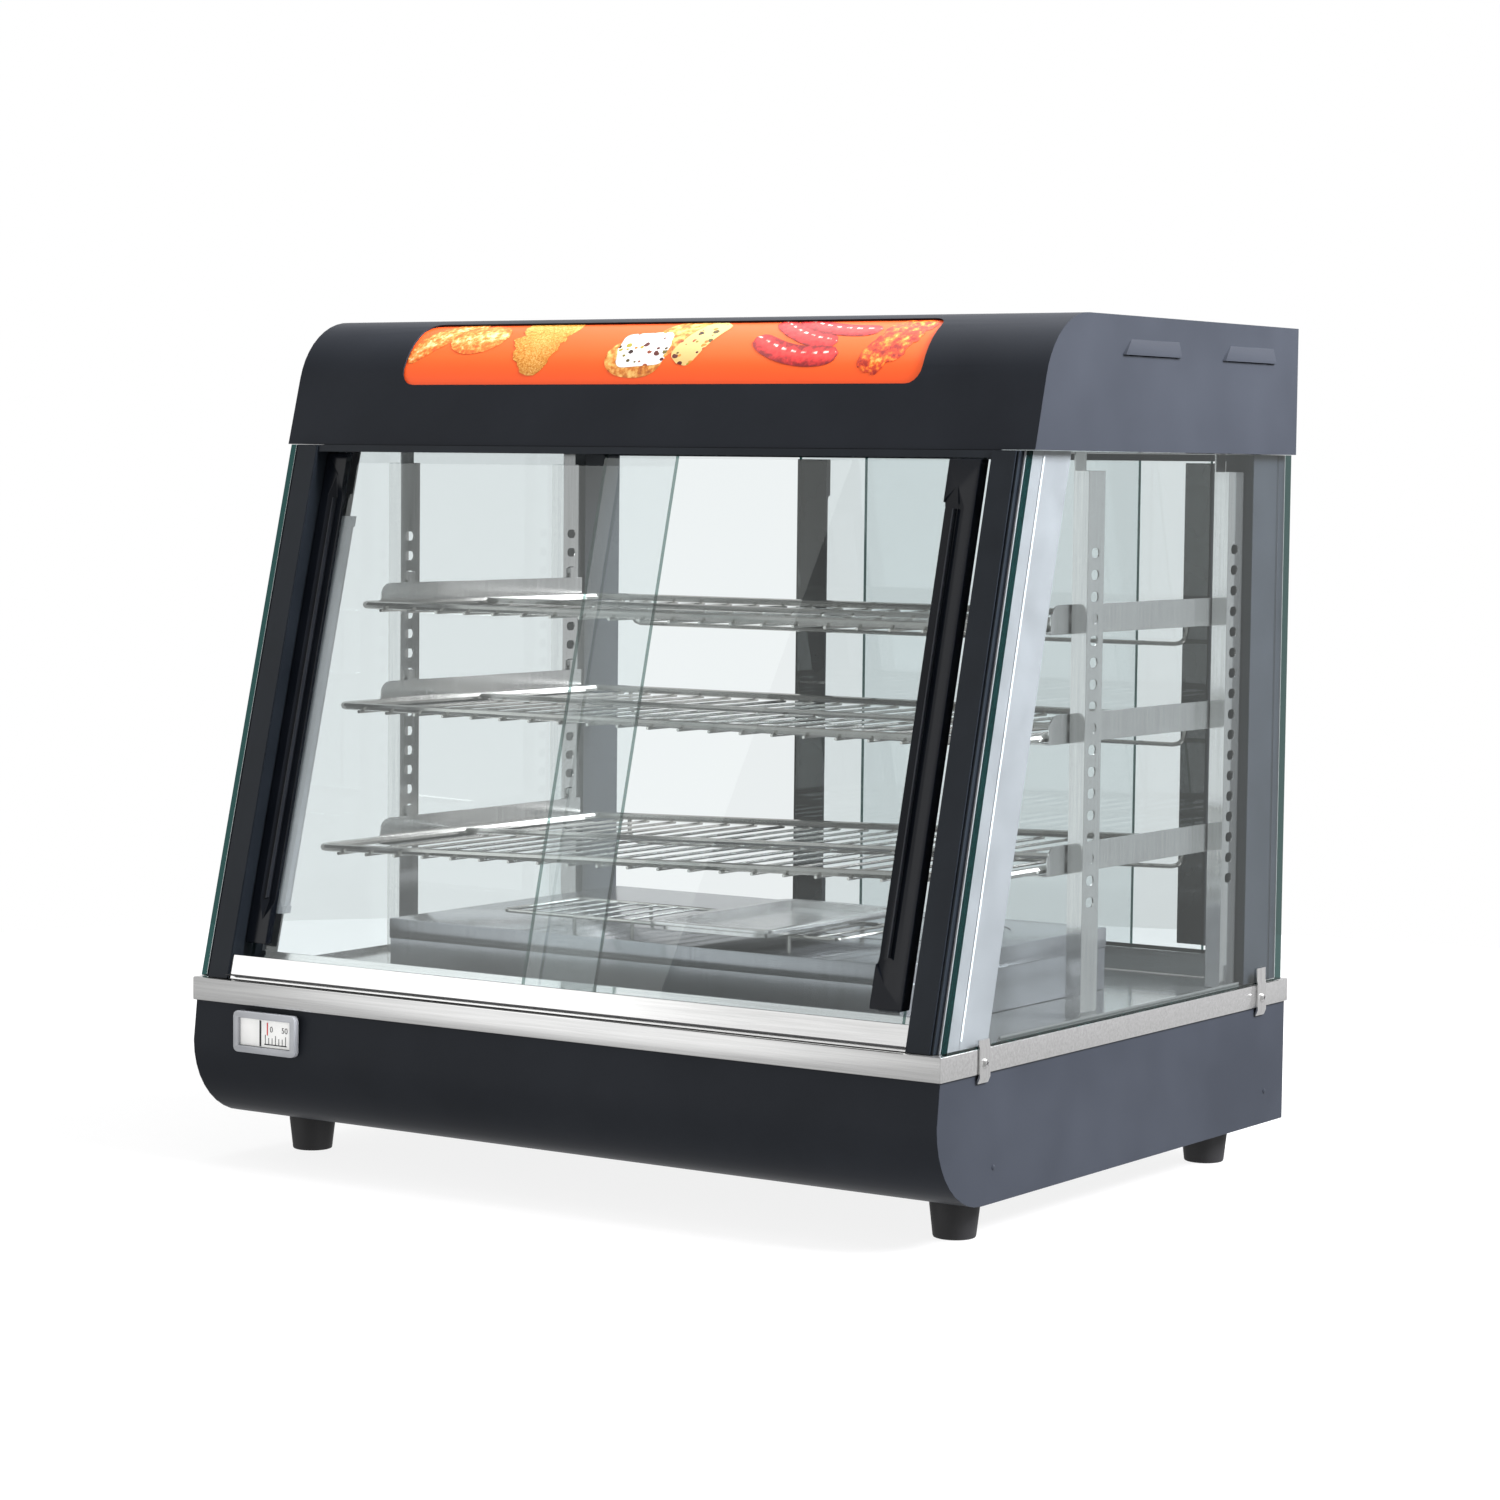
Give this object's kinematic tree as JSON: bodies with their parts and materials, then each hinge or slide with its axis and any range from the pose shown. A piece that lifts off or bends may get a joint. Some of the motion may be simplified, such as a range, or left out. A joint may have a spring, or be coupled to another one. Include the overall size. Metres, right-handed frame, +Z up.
{
  "type": "heated countertop food display case",
  "caption": "Heated countertop display case with sloped sliding front doors, rear sliding doors, wire shelves, a heater box and a lit sign canopy.",
  "frame": {"origin": "on the table, under the middle of the bounding box", "axes": "+X to the right of someone facing the sloped front, +Y from the front doors to the rear doors, +Z up"},
  "size_m": [0.667, 0.5354, 0.6372],
  "materials": {
    "black_body": "satin",
    "rubber_feet": "matte",
    "bezel": "gloss",
    "card": "matte",
    "stainless": "satin",
    "dark_plastic": "satin",
    "slate_plastic": "satin",
    "pane": "gloss",
    "wire_chrome": "gloss",
    "element": "matte",
    "sign": "gloss",
    "lamp": "gloss",
    "handle_black": "gloss",
    "rocker_red": "gloss"
  },
  "bodies": {
    "cabinet": {"base_shell": "black_body", "base_rear_panel": "black_body", "canopy_shell": "black_body", "foot_front_left": "rubber_feet", "foot_front_right": "rubber_feet", "foot_rear_left": "rubber_feet", "foot_rear_right": "rubber_feet", "thermometer_bezel": "bezel", "thermometer_card": "card", "deck_trim": "stainless", "front_sill": "stainless", "rear_sill": "stainless", "ceiling_panel": "stainless", "heater_box": "stainless", "front_header": "dark_plastic", "rear_header": "dark_plastic", "front_post_left": "dark_plastic", "post_liner_left": "stainless", "rear_post_left": "slate_plastic", "side_glass_left": "pane", "glass_clip_front_left": "stainless", "standard_front_left": "stainless", "glass_clip_rear_left": "stainless", "standard_rear_left": "stainless", "bracket_low_left": "stainless", "bracket_mid_left": "stainless", "bracket_top_left": "stainless", "front_post_right": "dark_plastic", "post_liner_right": "stainless", "rear_post_right": "slate_plastic", "side_glass_right": "pane", "glass_clip_front_right": "stainless", "standard_front_right": "stainless", "glass_clip_rear_right": "stainless", "standard_rear_right": "stainless", "bracket_low_right": "stainless", "bracket_mid_right": "stainless", "bracket_top_right": "stainless", "heating_element": "element", "sign_panel": "sign", "sign_lamp": "lamp", "led_lamp": "lamp", "cord_gland": "dark_plastic"},
    "front_left_door": {"front_left_glass": "pane", "front_left_handle": "handle_black"},
    "front_right_door": {"front_right_glass": "pane", "front_right_handle": "handle_black"},
    "rear_left_door": {"rear_left_glass": "pane", "rear_left_handle": "handle_black"},
    "rear_right_door": {"rear_right_glass": "pane", "rear_right_handle": "handle_black"},
    "low_shelf": {"shelf_low": "wire_chrome"},
    "mid_shelf": {"shelf_mid": "wire_chrome"},
    "top_shelf": {"shelf_top": "wire_chrome"},
    "rack": {"heater_rack": "wire_chrome"},
    "food_tray": {"tray": "stainless"},
    "thermostat": {"thermostat_knob": "handle_black"},
    "power_switch": {"power_rocker": "rocker_red"},
    "light_switch": {"light_rocker": "handle_black"}
  },
  "joints": [
    {"name": "front_left_door_slide", "type": "slide", "parent": "cabinet", "child": "front_left_door", "axis": [1, 0, 0], "range_m": [-0.0006, 0.27]},
    {"name": "front_right_door_slide", "type": "slide", "parent": "cabinet", "child": "front_right_door", "axis": [1, 0, 0], "range_m": [-0.267, 0.0065]},
    {"name": "rear_left_door_slide", "type": "slide", "parent": "cabinet", "child": "rear_left_door", "axis": [1, 0, 0], "range_m": [-0.192, 0.088]},
    {"name": "rear_right_door_slide", "type": "slide", "parent": "cabinet", "child": "rear_right_door", "axis": [1, 0, 0], "range_m": [-0.25, 0.03]},
    {"name": "low_shelf_lift", "type": "slide", "parent": "cabinet", "child": "low_shelf", "axis": [0, 0, 1], "range_m": [0, 0.03]},
    {"name": "mid_shelf_lift", "type": "slide", "parent": "cabinet", "child": "mid_shelf", "axis": [0, 0, 1], "range_m": [0, 0.03]},
    {"name": "top_shelf_lift", "type": "slide", "parent": "cabinet", "child": "top_shelf", "axis": [0, 0, 1], "range_m": [0, 0.03]},
    {"name": "rack_lift", "type": "slide", "parent": "cabinet", "child": "rack", "axis": [0, 0.2471, 0.969], "range_m": [0, 0.012]},
    {"name": "tray_lift", "type": "slide", "parent": "rack", "child": "food_tray", "axis": [0, 0.2471, 0.969], "range_m": [0, 0.014]},
    {"name": "thermostat_turn", "type": "hinge", "parent": "cabinet", "child": "thermostat", "pos_m": [0.2, 0.25205, 0.078], "axis": [0, 1, 0], "range_deg": [0, 280]},
    {"name": "power_switch_turn", "type": "hinge", "parent": "cabinet", "child": "power_switch", "pos_m": [0.13, 0.25305, 0.078], "axis": [1, 0, 0], "range_deg": [0, 14]},
    {"name": "light_switch_turn", "type": "hinge", "parent": "cabinet", "child": "light_switch", "pos_m": [0.095, 0.25305, 0.078], "axis": [1, 0, 0], "range_deg": [0, 14]}
  ]
}
